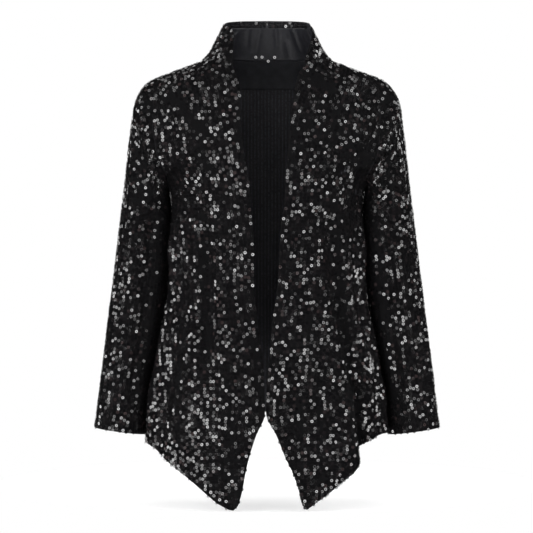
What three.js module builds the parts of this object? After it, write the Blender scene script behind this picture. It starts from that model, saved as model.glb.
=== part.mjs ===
// Longline jacket with an open front, in the shape it has when worn but with nobody in it.
// Two fronts carry a standing collar that meets at the centre back. A back, two long sleeves and
// two facings inside the back of the neck complete it. Left and right are the wearer's.
// Millimetres. +Z is up, +X is the wearer's left, the front faces -Y.
// The origin lies between the shoulders, at the height of the neck line.

import * as THREE from "three";

// Cloth and seams
const clothWall = 2;
const facingWall = 1.2;
const facingClearance = 0.35;
const seamInset = 0.19;
const armholeShift = 0.6;

// Heights of the main points
const neckPointZ = 13;
const shoulderTipZ = -20;
const underarmZ = -196;

// Shape of a level section: 2 is an ellipse, more is squarer
const bodySquareness = 2.3;
const sleeveSquareness = 2.2;

// Grid steps, shared by the pieces on both sides of a seam
const collarSteps = 6;
const shoulderSteps = 9;
const neckSteps = 8;
const armholeSteps = 11;
const sideSteps = 16;
const sleeveSteps = 24;

// Shares of a front's width and length
const collarShare = 0.39;
const backShoulderShare = 0.28;
const underarmShare = 0.385;

// How fast a panel's rows lose the bend of its top line and of its hem
const topFade = 8;
const bottomFade = 3;

// Rough lengths that turn the seam inset into shares
const frontWidth = 170;
const frontLength = 600;
const neckLength = 120;
const collarHeight = 55;

// Steps in degrees and millimetres over which a surface's slope is taken
const turnStep = 0.3;
const sleeveTurnStep = 0.9;
const runStep = 0.6;

// Steps in which a height is found by halving, and marks between two places of a line
const halvings = 40;
const marksEach = 20;

// Level sections of the body, from the collar's top to below the hem: half width, and depth to the
// front and to the back. Beside the armholes they run out under the sleeve heads.
const bodySections = [
  { z: 76, half: 60, front: 44, back: 60 },
  { z: 60, half: 66, front: 48, back: 62 },
  { z: 45, half: 74, front: 52, back: 64 },
  { z: 25, half: 84, front: 56, back: 68 },
  { z: 10, half: 93, front: 60, back: 73 },
  { z: 0, half: 104, front: 64, back: 78 },
  { z: -9, half: 126, front: 70, back: 83 },
  { z: -18, half: 150, front: 76, back: 88 },
  { z: -28, half: 174, front: 81, back: 92 },
  { z: -42, half: 196, front: 86, back: 96 },
  { z: -62, half: 205, front: 90, back: 100 },
  { z: -105, half: 207, front: 97, back: 106 },
  { z: -138, half: 198, front: 102, back: 108 },
  { z: -163, half: 180, front: 105, back: 108 },
  { z: -184, half: 159, front: 106, back: 107 },
  { z: -197, half: 149.5, front: 106, back: 106 },
  { z: -215, half: 145, front: 106, back: 105 },
  { z: -240, half: 143.2, front: 105, back: 102 },
  { z: -290, half: 145, front: 102, back: 98 },
  { z: -370, half: 150, front: 103, back: 98 },
  { z: -425, half: 162, front: 106, back: 102 },
  { z: -478, half: 171, front: 109, back: 107 },
  { z: -517, half: 179.5, front: 112, back: 111 },
  { z: -577, half: 183, front: 115, back: 116 },
  { z: -700, half: 190, front: 118, back: 120 },
];

// Turn is the angle round the body: 0 at the centre front, 90 at the side, 180 at the centre back.
const collarTop = [
  { turn: 90, z: 58.5 },
  { turn: 120, z: 64.5 },
  { turn: 150, z: 68 },
  { turn: 180, z: 69 },
];
const collarBase = [
  { turn: 90, z: 13 },
  { turn: 120, z: 11 },
  { turn: 150, z: 9 },
  { turn: 180, z: 9 },
];
const armhole = [
  { turn: 90, z: -20 },
  { turn: 70, z: -24 },
  { turn: 60, z: -32 },
  { turn: 55.5, z: -48 },
  { turn: 54, z: -80 },
  { turn: 54, z: -120 },
  { turn: 57.5, z: -150 },
  { turn: 64, z: -175 },
  { turn: 73, z: -188 },
  { turn: 90, z: -196 },
];

// Front edge: distance of each front's edge from the middle of the body. It starts at the collar's
// corner, meets the other edge at the height of the back's hem, and swings out to the hem's point.
const collarCorner = { left: { turn: 80, z: 53 }, right: { turn: 66, z: 54 } };
const frontEdge = [
  { z: 45, left: 70.4, right: 53.7 },
  { z: 5, left: 60, right: 52.1 },
  { z: -28, left: 46.5, right: 46 },
  { z: -56, left: 40.5, right: 41 },
  { z: -118, left: 33, right: 38 },
  { z: -170, left: 28.5, right: 30.5 },
  { z: -212, left: 27, right: 25.6 },
  { z: -250, left: 21.5, right: 22.6 },
  { z: -290, left: 18, right: 19.6 },
  { z: -350, left: 15, right: 19.6 },
  { z: -388, left: 9, right: 15 },
  { z: -430, left: 5, right: 10.5 },
  { z: -455, left: 3, right: 6 },
  { z: -500, left: -0.7, right: 3.8 },
  { z: -538, left: -1.2, right: 2.8 },
  { z: -572, left: 14.3, right: 16.5 },
  { z: -605, left: 28, right: 27 },
  { z: -632, left: 41, right: 33 },
  { z: -656, left: 49, right: 37.5 },
];

// Hems, from the front edge round the point and up to the side seam
const frontHem = {
  left: [
    { x: 52.5, z: -671 },
    { x: 58.5, z: -683.6 },
    { x: 75, z: -672.5 },
    { x: 107, z: -649 },
    { x: 130, z: -628 },
    { x: 145, z: -610.5 },
    { x: 157, z: -588.5 },
    { x: 172, z: -575 },
  ],
  right: [
    { x: 43.5, z: -677 },
    { x: 52, z: -684.5 },
    { x: 72, z: -676 },
    { x: 87, z: -664.5 },
    { x: 115.5, z: -641 },
    { x: 143, z: -620.5 },
    { x: 166, z: -603 },
    { x: 174, z: -594 },
  ],
};
const backHem = [
  { turn: 90, z: -571 },
  { turn: 120, z: -562 },
  { turn: 150, z: -553 },
  { turn: 180, z: -549 },
  { turn: 210, z: -553 },
  { turn: 240, z: -563 },
  { turn: 270, z: -577 },
];

// Folds of the body: a line down the cloth from one turn and height to another, its half width, and
// its depth at each end. A negative depth is a ridge. Negative turns are on the wearer's right.
const bodyFolds = [
  { turn: 37, z: -185, endTurn: 58, endZ: -720, width: 12, depth: 7, endDepth: 27 },
  { turn: 31, z: -220, endTurn: 45, endZ: -720, width: 13, depth: -2, endDepth: -8 },
  { turn: 57, z: -70, endTurn: 33, endZ: -235, width: 9, depth: 6, endDepth: 4 },
  { turn: 46, z: -45, endTurn: 24, endZ: -165, width: 8, depth: 5, endDepth: 3 },
  { turn: 22, z: -375, endTurn: 21, endZ: -450, width: 8, depth: 5, endDepth: 4 },
  { turn: 17, z: -480, endTurn: 16, endZ: -610, width: 9, depth: 4, endDepth: 7 },
  { turn: 12, z: -250, endTurn: 9, endZ: -500, width: 9, depth: -4, endDepth: -3 },
  { turn: 74, z: -200, endTurn: 75, endZ: -740, width: 16, depth: -8, endDepth: -8 },
  { turn: -74, z: -200, endTurn: -75, endZ: -740, width: 16, depth: -8, endDepth: -8 },
  { turn: -40, z: -235, endTurn: -30, endZ: -500, width: 9, depth: 8, endDepth: 9 },
  { turn: -55, z: -190, endTurn: -60, endZ: -640, width: 15, depth: 5, endDepth: 9 },
  { turn: -22, z: -300, endTurn: -17, endZ: -660, width: 12, depth: -4, endDepth: -6 },
  { turn: -2, z: -400, endTurn: 1, endZ: -580, width: 12, depth: 9, endDepth: 8 },
  { turn: -50, z: -60, endTurn: -38, endZ: -200, width: 10, depth: 4, endDepth: 4 },
  { turn: -72, z: -214, endTurn: -50, endZ: -168, width: 8, depth: 4, endDepth: 4 },
  { turn: 72, z: -214, endTurn: 50, endZ: -168, width: 8, depth: 4, endDepth: 4 },
  { turn: 172, z: -230, endTurn: 168, endZ: -640, width: 15, depth: 5, endDepth: 8 },
  { turn: 193, z: -150, endTurn: 199, endZ: -620, width: 14, depth: 4, endDepth: 9 },
  { turn: 146, z: -170, endTurn: 141, endZ: -640, width: 15, depth: 4, endDepth: 10 },
  { turn: 222, z: -210, endTurn: 229, endZ: -640, width: 16, depth: 5, endDepth: 8 },
  { turn: 157, z: -300, endTurn: 154, endZ: -660, width: 12, depth: -3, endDepth: -6 },
  { turn: 210, z: -280, endTurn: 213, endZ: -660, width: 12, depth: -3, endDepth: -6 },
  { turn: 118, z: -120, endTurn: 137, endZ: -230, width: 9, depth: 5, endDepth: 3 },
  { turn: 242, z: -115, endTurn: 226, endZ: -240, width: 9, depth: 5, endDepth: 3 },
];
const foldFade = 0.22;

// Sleeve rings, from the armhole to the cuff, for the wearer's left: the outer and the inner point
// of each ring in the front view, its half depth, and how far its middle lies behind the shoulder.
const sleeveRings = [
  { outX: 155, outZ: -20, inX: 150, inZ: -196, depth: 62, back: 2 },
  { outX: 173, outZ: -27, inX: 150.6, inZ: -198, depth: 62, back: 2 },
  { outX: 190, outZ: -41, inX: 150.6, inZ: -201, depth: 61, back: 3 },
  { outX: 204, outZ: -65, inX: 150.2, inZ: -206, depth: 59, back: 5 },
  { outX: 210.5, outZ: -95, inX: 148.6, inZ: -214, depth: 57, back: 8 },
  { outX: 216.5, outZ: -138, inX: 147.4, inZ: -228, depth: 55, back: 11 },
  { outX: 221.5, outZ: -185, inX: 146.6, inZ: -250, depth: 53, back: 14 },
  { outX: 229, outZ: -245, inX: 148, inZ: -285, depth: 51, back: 16 },
  { outX: 238, outZ: -320, inX: 151.6, inZ: -345, depth: 49, back: 17 },
  { outX: 248, outZ: -405, inX: 163.6, inZ: -422, depth: 47, back: 16 },
  { outX: 258, outZ: -487, inX: 178.4, inZ: -499, depth: 45, back: 14 },
  { outX: 269, outZ: -567, inX: 187, inZ: -578, depth: 43, back: 12 },
];
const capBlendReach = 130;
const ringSpread = 1.25;

// Folds of the sleeves, as on the body: turn 0 is the outside of the arm, 90 its front, 180 the
// inside and 270 its back, and along is the share of the sleeve's length.
const sleeveFolds = {
  left: [
    { turn: 100, along: 0.24, endTurn: 118, endAlong: 0.98, width: 10, depth: 5, endDepth: 4 },
    { turn: 62, along: 0.4, endTurn: 104, endAlong: 0.62, width: 8, depth: 4, endDepth: 5 },
    { turn: 40, along: 0.06, endTurn: 66, endAlong: 0.34, width: 10, depth: 3, endDepth: 4 },
    { turn: 30, along: 0.52, endTurn: 24, endAlong: 0.96, width: 9, depth: -3, endDepth: -3 },
    { turn: 250, along: 0.3, endTurn: 284, endAlong: 0.6, width: 10, depth: 4, endDepth: 5 },
    { turn: 300, along: 0.5, endTurn: 292, endAlong: 0.98, width: 10, depth: 4, endDepth: 3 },
    { turn: 318, along: 0.08, endTurn: 296, endAlong: 0.36, width: 10, depth: 4, endDepth: 4 },
  ],
  right: [
    { turn: 104, along: 0.28, endTurn: 112, endAlong: 0.98, width: 10, depth: 5, endDepth: 5 },
    { turn: 58, along: 0.46, endTurn: 98, endAlong: 0.56, width: 8, depth: 4, endDepth: 4 },
    { turn: 44, along: 0.05, endTurn: 74, endAlong: 0.3, width: 10, depth: 3, endDepth: 4 },
    { turn: 26, along: 0.6, endTurn: 32, endAlong: 0.98, width: 9, depth: -3, endDepth: -3 },
    { turn: 256, along: 0.34, endTurn: 278, endAlong: 0.66, width: 10, depth: 4, endDepth: 5 },
    { turn: 306, along: 0.44, endTurn: 296, endAlong: 0.98, width: 10, depth: 3, endDepth: 4 },
    { turn: 314, along: 0.1, endTurn: 300, endAlong: 0.34, width: 10, depth: 4, endDepth: 3 },
  ],
};

// Facings inside the back of the neck, in steps of the grid that they lie on. The collar's starts
// below the rolled top edge. The back's starts on the shoulder seams, a few steps from the neck.
const collarFacing = { fromSide: 1, down: [1, 2, 3, 4, 5, 5.7] };
const neckFacing = { fromTip: 8, down: [0.03, 1, 2, 3] };

const degree = Math.PI / 180;
const { lerp, clamp } = THREE.MathUtils;

// One column of a table as a smooth function of another, with no overshoot between the rows.
function column(rows, key, name) {
  const up = rows[0][key] < rows[rows.length - 1][key] ? rows : [...rows].reverse();
  const at = up.map((row) => row[key]);
  const value = up.map((row) => row[name]);
  const last = up.length - 1;
  const rise = value.slice(1).map((v, i) => (v - value[i]) / (at[i + 1] - at[i]));
  const slope = value.map((v, i) => {
    if (i === 0) return rise[0];
    if (i === last) return rise[last - 1];
    if (rise[i - 1] * rise[i] <= 0) return 0;
    return (2 * rise[i - 1] * rise[i]) / (rise[i - 1] + rise[i]);
  });
  return (x) => {
    let i = 0;
    while (i < last - 1 && x > at[i + 1]) i += 1;
    const step = at[i + 1] - at[i];
    const f = clamp((x - at[i]) / step, 0, 1);
    const g = 1 - f;
    const ends = value[i] * g * g * (1 + 2 * f) + value[i + 1] * f * f * (1 + 2 * g);
    return ends + step * f * g * (slope[i] * g - slope[i + 1] * f);
  };
}

// Run is the distance down the side of the body, over the shoulder.
bodySections.forEach((row, i) => {
  const above = bodySections[i - 1];
  row.run = above ? above.run + Math.hypot(row.z - above.z, row.half - above.half) : 0;
});
const sectionZ = column(bodySections, "run", "z");
const sectionHalf = column(bodySections, "run", "half");
const sectionFront = column(bodySections, "run", "front");
const sectionBack = column(bodySections, "run", "back");
const longestRun = bodySections[bodySections.length - 1].run;

function runAt(z) {
  let low = 0;
  let high = longestRun;
  for (let i = 0; i < halvings; i += 1) {
    const middle = (low + high) / 2;
    if (sectionZ(middle) > z) low = middle;
    else high = middle;
  }
  return (low + high) / 2;
}

// The turn at which a level section has a given distance from the middle plane, on the front.
function turnAt(x, z) {
  const share = clamp(Math.abs(x) / sectionHalf(runAt(z)), 0, 1);
  const depth = (1 - share ** bodySquareness) ** (1 / bodySquareness);
  return (Math.sign(x) * Math.atan2(share, depth)) / degree;
}

// Sine and cosine of a turn, on a squared circle.
function squared(turn, squareness) {
  const s = Math.sin(turn * degree);
  const c = Math.cos(turn * degree);
  const size = (Math.abs(s) ** squareness + Math.abs(c) ** squareness) ** (1 / squareness);
  return { s: s / size, c: c / size };
}

// Smooth step from 0 at 0 to 1 at reach.
function ramp(x, reach) {
  const f = clamp(x / reach, 0, 1);
  return f * f * (3 - 2 * f);
}

// Depth of all folds at one place. Along runs from the start to the end of each fold's line.
function foldDepth(folds, turn, place, radius) {
  let sum = 0;
  for (const fold of folds) {
    const along = place(fold);
    if (along <= 0 || along >= 1) continue;
    const line = lerp(fold.turn, fold.endTurn, along);
    const apart = ((((turn - line + 180) % 360) + 360) % 360) - 180;
    const away = (apart * degree * radius) / fold.width;
    const size = ramp(along, foldFade) * ramp(1 - along, foldFade);
    sum += lerp(fold.depth, fold.endDepth, along) * size * Math.exp(-away * away);
  }
  return sum;
}

// The body before its folds: a squared oval at each run.
function plainBody(turn, run) {
  const { s, c } = squared(turn, bodySquareness);
  const depth = c > 0 ? sectionFront(run) : sectionBack(run);
  return new THREE.Vector3(sectionHalf(run) * s, -depth * c, sectionZ(run));
}

function normalOf(surface, a, b, stepA, stepB) {
  const alongA = surface(a + stepA, b).sub(surface(a - stepA, b));
  const alongB = surface(a, b + stepB).sub(surface(a, b - stepB));
  return alongA.cross(alongB).normalize();
}

function foldedBody(turn, run) {
  const z = sectionZ(run);
  const onFront = Math.cos(turn * degree) > 0;
  const radius = (sectionHalf(run) + (onFront ? sectionFront(run) : sectionBack(run))) / 2;
  const place = (fold) => (fold.z - z) / (fold.z - fold.endZ);
  const depth = foldDepth(bodyFolds, turn, place, radius);
  const outward = normalOf(plainBody, turn, run, turnStep, -runStep);
  return plainBody(turn, run).addScaledVector(outward, -depth);
}

// A point of the body's cloth, some distance inside its outer face.
function bodyPoint(turn, run, inside) {
  const outward = normalOf(foldedBody, turn, run, turnStep, -runStep);
  return foldedBody(turn, run).addScaledVector(outward, -inside);
}

// A line on the body through a few places, read by its share of the length.
function bodyLine(places) {
  const rows = places.map((place, i) => ({ i, turn: place.turn, run: runAt(place.z) }));
  const turnOf = column(rows, "i", "turn");
  const runOf = column(rows, "i", "run");
  const count = marksEach * (rows.length - 1);
  const marks = [{ turn: turnOf(0), run: runOf(0), share: 0 }];
  for (let k = 1; k <= count; k += 1) {
    const at = k / marksEach;
    const mark = { turn: turnOf(at), run: runOf(at) };
    const before = marks[k - 1];
    const here = plainBody(mark.turn, mark.run);
    mark.share = before.share + here.distanceTo(plainBody(before.turn, before.run));
    marks.push(mark);
  }
  const length = marks[count].share;
  marks.forEach((mark) => {
    mark.share /= length;
  });
  return { turn: column(marks, "share", "turn"), run: column(marks, "share", "run") };
}

const readLine = (line, share) => ({ turn: line.turn(share), run: line.run(share) });
const mixPlaces = (a, b, f) => ({ turn: lerp(a.turn, b.turn, f), run: lerp(a.run, b.run, f) });

// A patch between four lines that share their corners: straight rows from the start line to the
// end line, bent to the top line and the bottom line with a share that fades away from them.
function patch(top, bottom, start, end) {
  return (s, t) => {
    const row = mixPlaces(start(t), end(t), s);
    const upper = mixPlaces(top(0), top(1), s);
    const lower = mixPlaces(bottom(0), bottom(1), s);
    const topShare = (1 - t) ** topFade;
    const bottomShare = t ** bottomFade;
    return {
      turn: row.turn + topShare * (top(s).turn - upper.turn) + bottomShare * (bottom(s).turn - lower.turn),
      run: row.run + topShare * (top(s).run - upper.run) + bottomShare * (bottom(s).run - lower.run),
    };
  };
}

const topZ = column(collarTop, "turn", "z");
const baseZ = column(collarBase, "turn", "z");
const armholeLine = bodyLine(armhole);

// The side of a front or of the back: down the armhole, then down the side seam.
function sideLine(hemZ) {
  const seam = bodyLine([{ turn: 90, z: underarmZ }, { turn: 90, z: hemZ }]);
  return (t) => {
    if (t <= underarmShare) return readLine(armholeLine, t / underarmShare);
    return readLine(seam, (t - underarmShare) / (1 - underarmShare));
  };
}

const sideHemZ = { left: backHem[0].z, right: backHem[backHem.length - 1].z };

// One front, as places on the body for s from the front edge to the side and t from the shoulder to
// the hem. Below t = 0 it is the half collar, which runs on to the centre back at t = -1.
function frontPlaces(side) {
  const corner = collarCorner[side];
  const edgeRows = frontEdge.map((row) => ({ turn: turnAt(row[side], row.z), z: row.z }));
  const hemRows = frontHem[side].map((row) => ({ turn: turnAt(row.x, row.z), z: row.z }));
  const edge = bodyLine([{ turn: 90, z: topZ(90) }, corner, ...edgeRows, hemRows[0]]);
  const hem = bodyLine([...hemRows, { turn: 90, z: sideHemZ[side] }]);
  const top = (s) => {
    const onCollar = s <= collarShare;
    const share = onCollar ? s / collarShare : (s - collarShare) / (1 - collarShare);
    const from = onCollar ? topZ(90) : neckPointZ;
    const to = onCollar ? neckPointZ : shoulderTipZ;
    return { turn: 90, run: lerp(runAt(from), runAt(to), share) };
  };
  const places = patch(top, (s) => readLine(hem, s), (t) => readLine(edge, t), sideLine(sideHemZ[side]));
  return (s, t) => {
    if (t >= 0) return places(s, t);
    const turn = 90 - 90 * t;
    const run = lerp(runAt(topZ(turn)), runAt(baseZ(turn)), s / collarShare);
    return { turn, run };
  };
}

// The back, for s from the wearer's left side to the right and t from the top to the hem.
function backPlaces() {
  const shoulder = backShoulderShare;
  const half = (s) => {
    if (s <= shoulder) return { turn: 90, run: lerp(runAt(shoulderTipZ), runAt(neckPointZ), s / shoulder) };
    const turn = 90 + (90 * (s - shoulder)) / (0.5 - shoulder);
    return { turn, run: runAt(baseZ(turn)) };
  };
  const top = (s) => {
    if (s <= 0.5) return half(s);
    const place = half(1 - s);
    return { turn: 360 - place.turn, run: place.run };
  };
  const hem = bodyLine(backHem);
  const leftSide = sideLine(sideHemZ.left);
  const rightSide = sideLine(sideHemZ.right);
  const start = (t) => {
    const place = leftSide(t);
    return { turn: 180 - place.turn, run: place.run };
  };
  const end = (t) => {
    const place = rightSide(t);
    return { turn: 180 + place.turn, run: place.run };
  };
  return patch(top, (s) => readLine(hem, s), start, end);
}

// A closed wall from a grid of points: outer and inner faces, and a rim wherever a cell has no
// neighbour. A piece that closes on itself has its last column joined to its first.
function wall(rows, columns, closed, hasCell, point) {
  const positions = [];
  const corners = new Map();
  const vertex = (i, j, inner) => {
    const across = closed ? j % columns : j;
    const key = `${i},${across},${inner}`;
    if (!corners.has(key)) {
      corners.set(key, positions.length / 3);
      positions.push(...point(i, across, inner).toArray());
    }
    return corners.get(key);
  };
  const index = [];
  const quad = (a, b, c, d) => index.push(a, b, c, a, c, d);
  const cellAt = (i, j) => {
    if (i < 0 || i >= rows) return false;
    if (closed) return true;
    return j >= 0 && j < columns && hasCell(i, j);
  };
  const rim = (i, j, k, l) => {
    quad(vertex(i, j, 0), vertex(i, j, 1), vertex(k, l, 1), vertex(k, l, 0));
  };
  for (let i = 0; i < rows; i += 1) {
    for (let j = 0; j < columns; j += 1) {
      if (!cellAt(i, j)) continue;
      quad(...[[i, j], [i, j + 1], [i + 1, j + 1], [i + 1, j]].map(([k, l]) => vertex(k, l, 0)));
      quad(...[[i, j], [i + 1, j], [i + 1, j + 1], [i, j + 1]].map(([k, l]) => vertex(k, l, 1)));
      if (!cellAt(i - 1, j)) rim(i, j, i, j + 1);
      if (!cellAt(i, j + 1)) rim(i, j + 1, i + 1, j + 1);
      if (!cellAt(i + 1, j)) rim(i + 1, j + 1, i + 1, j);
      if (!cellAt(i, j - 1)) rim(i + 1, j, i, j);
    }
  }
  let volume = 0;
  const [a, b, c] = [new THREE.Vector3(), new THREE.Vector3(), new THREE.Vector3()];
  for (let k = 0; k < index.length; k += 3) {
    a.fromArray(positions, 3 * index[k]);
    b.fromArray(positions, 3 * index[k + 1]);
    c.fromArray(positions, 3 * index[k + 2]);
    volume += a.dot(b.cross(c));
  }
  if (volume < 0) index.reverse();
  const geometry = new THREE.BufferGeometry();
  geometry.setAttribute("position", new THREE.Float32BufferAttribute(positions, 3));
  geometry.setIndex(index);
  geometry.computeVertexNormals();
  return geometry;
}

// Grid shares with a break in them: the first steps cover one share, the others the rest.
function brokenShare(k, firstSteps, otherSteps, share) {
  if (k <= firstSteps) return (share * k) / firstSteps;
  return lerp(share, 1, (k - firstSteps) / otherSteps);
}

const lengthRows = armholeSteps + sideSteps;
const frontColumns = collarSteps + shoulderSteps;
const backColumns = 2 * (shoulderSteps + neckSteps);

const signOf = (side) => (side === "left" ? 1 : -1);

// A share kept a seam inset away from both ends of a length.
const insetShare = (share, length) => clamp(share, seamInset / length, 1 - seamInset / length);

function frontGeometry(side) {
  const places = frontPlaces(side);
  const sign = signOf(side);
  const collarEdge = collarShare * (1 - seamInset / collarHeight);
  const hasCell = (i, j) => i >= neckSteps || j < collarSteps;
  return wall(neckSteps + lengthRows, frontColumns, false, hasCell, (i, j, inner) => {
    let s = brokenShare(j, collarSteps, shoulderSteps, collarShare);
    let t = 0;
    if (i < neckSteps) {
      t = -insetShare(1 - i / neckSteps, neckLength);
      s = Math.min(s, collarEdge);
    } else {
      t = brokenShare(i - neckSteps, armholeSteps, sideSteps, underarmShare);
      s = Math.min(s, 1 - seamInset / frontWidth);
      if (j >= collarSteps) t = Math.max(t, seamInset / frontLength);
      if (i === neckSteps && j === collarSteps) s = collarEdge;
    }
    const place = places(s, t);
    return bodyPoint(sign * place.turn, place.run, inner * clothWall);
  });
}

// The back's columns are close over the shoulders and wider below the neck.
function backShare(j) {
  const fromSide = Math.min(j, backColumns - j);
  const half = brokenShare(fromSide, shoulderSteps, neckSteps, 2 * backShoulderShare) / 2;
  return j === fromSide ? half : 1 - half;
}

function backGeometry() {
  const places = backPlaces();
  return wall(lengthRows, backColumns, false, () => true, (i, j, inner) => {
    const s = insetShare(backShare(j), 2 * frontWidth);
    const t = Math.max(brokenShare(i, armholeSteps, sideSteps, underarmShare), seamInset / frontLength);
    const place = places(s, t);
    return bodyPoint(place.turn, place.run, inner * clothWall);
  });
}

// Sleeves
sleeveRings.forEach((ring, i) => {
  const above = sleeveRings[i - 1];
  ring.far = above ? above.far + Math.hypot(ring.outX - above.outX, ring.outZ - above.outZ) : 0;
});
const sleeveLength = sleeveRings[sleeveRings.length - 1].far;
const ringColumn = (name) => column(sleeveRings, "far", name);
const ringShape = {
  outX: ringColumn("outX"),
  outZ: ringColumn("outZ"),
  inX: ringColumn("inX"),
  inZ: ringColumn("inZ"),
  depth: ringColumn("depth"),
  back: ringColumn("back"),
};

// A flat squared ring across the arm, with its outer and inner points where the rows say.
function flatRing(turn, far) {
  const outer = new THREE.Vector3(ringShape.outX(far), ringShape.back(far), ringShape.outZ(far));
  const inner = new THREE.Vector3(ringShape.inX(far), ringShape.back(far), ringShape.inZ(far));
  const middle = outer.clone().add(inner).multiplyScalar(0.5);
  const { s, c } = squared(turn, sleeveSquareness);
  const point = middle.clone().addScaledVector(outer.sub(middle), c);
  point.y -= ringShape.depth(far) * s;
  return { point, middle };
}

function armholePoint(turn, sign) {
  const onFront = turn <= 180;
  const place = readLine(armholeLine, (onFront ? turn : 360 - turn) / 180);
  const point = foldedBody(sign * (onFront ? place.turn : 180 - place.turn), place.run);
  point.x = sign * point.x + armholeShift;
  return point;
}

// The sleeve's outer face: rings that follow the armhole at the top and turn into plain ovals.
function sleeveSurface(side) {
  const sign = signOf(side);
  return (turn, far) => {
    const round = ((turn % 360) + 360) % 360;
    const down = clamp(far, 0, sleeveLength);
    const { point, middle } = flatRing(round, down);
    const pull = 1 - ramp(down, capBlendReach);
    if (pull > 0) point.addScaledVector(armholePoint(round, sign).sub(flatRing(round, 0).point), pull);
    const radius = ringShape.depth(down);
    const place = (fold) => (down / sleeveLength - fold.along) / (fold.endAlong - fold.along);
    const depth = foldDepth(sleeveFolds[side], round, place, radius);
    return point.addScaledVector(middle.sub(point).normalize(), depth);
  };
}

function sleeveGeometry(side) {
  const surface = sleeveSurface(side);
  const sign = signOf(side);
  const stations = 2 * armholeSteps;
  return wall(sleeveSteps, stations, true, () => true, (i, k, inner) => {
    const far = sleeveLength * (i / sleeveSteps) ** ringSpread;
    const turn = (360 * k) / stations;
    const within = clamp(far, runStep, sleeveLength - runStep);
    const outward = normalOf(surface, turn, within, sleeveTurnStep, runStep);
    const point = surface(turn, far).addScaledVector(outward, -inner * clothWall);
    point.x *= sign;
    return point;
  });
}

// A facing lies inside the body's cloth, on the same grid.
function facingGeometry(rows, columns, placeAt) {
  return wall(rows, columns, false, () => true, (i, j, inner) => {
    const place = placeAt(i, j);
    return bodyPoint(place.turn, place.run, clothWall + facingClearance + inner * facingWall);
  });
}

function collarFacingGeometry() {
  const { fromSide, down } = collarFacing;
  return facingGeometry(down.length - 1, 2 * (neckSteps - fromSide), (i, j) => {
    const turn = 90 + (90 * (fromSide + j)) / neckSteps;
    const half = Math.min(turn, 360 - turn);
    return { turn, run: lerp(runAt(topZ(half)), runAt(baseZ(half)), down[i] / collarSteps) };
  });
}

function neckFacingGeometry() {
  const { fromTip, down } = neckFacing;
  const places = backPlaces();
  return facingGeometry(down.length - 1, backColumns - 2 * fromTip, (i, j) => {
    return places(backShare(fromTip + j), (underarmShare * down[i]) / armholeSteps);
  });
}

const sequinCloth = { color: 0x151316, roughness: 0.3, metalness: 0.35 };
const satin = { color: 0x26262c, roughness: 0.38, metalness: 0 };
const plainKnit = { color: 0x1a1a1c, roughness: 0.85, metalness: 0 };

function piece(name, geometry, finish) {
  const mesh = new THREE.Mesh(geometry, new THREE.MeshStandardMaterial(finish));
  mesh.name = name;
  return mesh;
}

const jacket = new THREE.Group();
jacket.add(piece("back", backGeometry(), sequinCloth));
for (const side of ["left", "right"]) {
  jacket.add(piece(`${side}_front`, frontGeometry(side), sequinCloth));
  jacket.add(piece(`${side}_sleeve`, sleeveGeometry(side), sequinCloth));
}
jacket.add(piece("collar_facing", collarFacingGeometry(), satin));
jacket.add(piece("back_neck_facing", neckFacingGeometry(), plainKnit));

export default jacket;
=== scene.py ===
import bpy
import numpy as np
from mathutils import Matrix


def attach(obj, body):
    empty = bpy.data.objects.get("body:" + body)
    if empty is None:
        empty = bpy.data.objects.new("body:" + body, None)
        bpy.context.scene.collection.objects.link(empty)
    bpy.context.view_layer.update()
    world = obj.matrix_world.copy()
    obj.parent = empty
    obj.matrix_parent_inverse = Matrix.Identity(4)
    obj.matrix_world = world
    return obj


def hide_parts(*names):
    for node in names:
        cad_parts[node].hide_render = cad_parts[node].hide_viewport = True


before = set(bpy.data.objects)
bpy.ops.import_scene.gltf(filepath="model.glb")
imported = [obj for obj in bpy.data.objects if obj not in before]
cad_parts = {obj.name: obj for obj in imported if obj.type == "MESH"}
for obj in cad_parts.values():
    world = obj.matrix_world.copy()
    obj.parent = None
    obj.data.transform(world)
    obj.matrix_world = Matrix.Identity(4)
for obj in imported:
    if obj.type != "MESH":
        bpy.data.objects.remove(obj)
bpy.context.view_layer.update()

rng = np.random.default_rng(29)
scene = bpy.context.scene

# The jacket in the shape it has when worn, with nobody in it. Sizes here are millimetres, and metres
# in the meshes. +Z is up, +X is the wearer's left, the front faces -Y.

# The cloth
cloth = {
    "thick": 0.9,        # knit without its sequins
    "under": 1.0,        # how far the knit lies under the sequins' tops
    "facingThick": 0.8, "facingUnder": 2.35,  # the same for the facings
    "seam": 0.2,         # half of the gap that a seam leaves
}

# Level sections of the body from the collar's top to below the hem: half width, depth to the front
# and depth to the back
bodyShape = {
    "z": [76, 60, 45, 25, 10, 0, -9, -18, -28, -42, -62, -105, -138, -163, -184, -197, -215, -240,
          -290, -370, -425, -478, -517, -577, -700],
    "half": [60, 66, 74, 84, 93, 104, 126, 150, 174, 196, 205, 207, 198, 180, 159, 149.5, 145, 143.2,
             145, 150, 162, 171, 179.5, 183, 190],
    "front": [44, 48, 52, 56, 60, 64, 70, 76, 81, 86, 90, 97, 102, 105, 106, 106, 106, 105,
              102, 103, 106, 109, 112, 115, 118],
    "back": [60, 62, 64, 68, 73, 78, 83, 88, 92, 96, 100, 106, 108, 108, 107, 106, 105, 102,
             98, 98, 102, 107, 111, 116, 120],
    "squareness": 2.3,
    "steps": (0.3, -0.6),  # in turn and in run, for its normals
}

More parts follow.
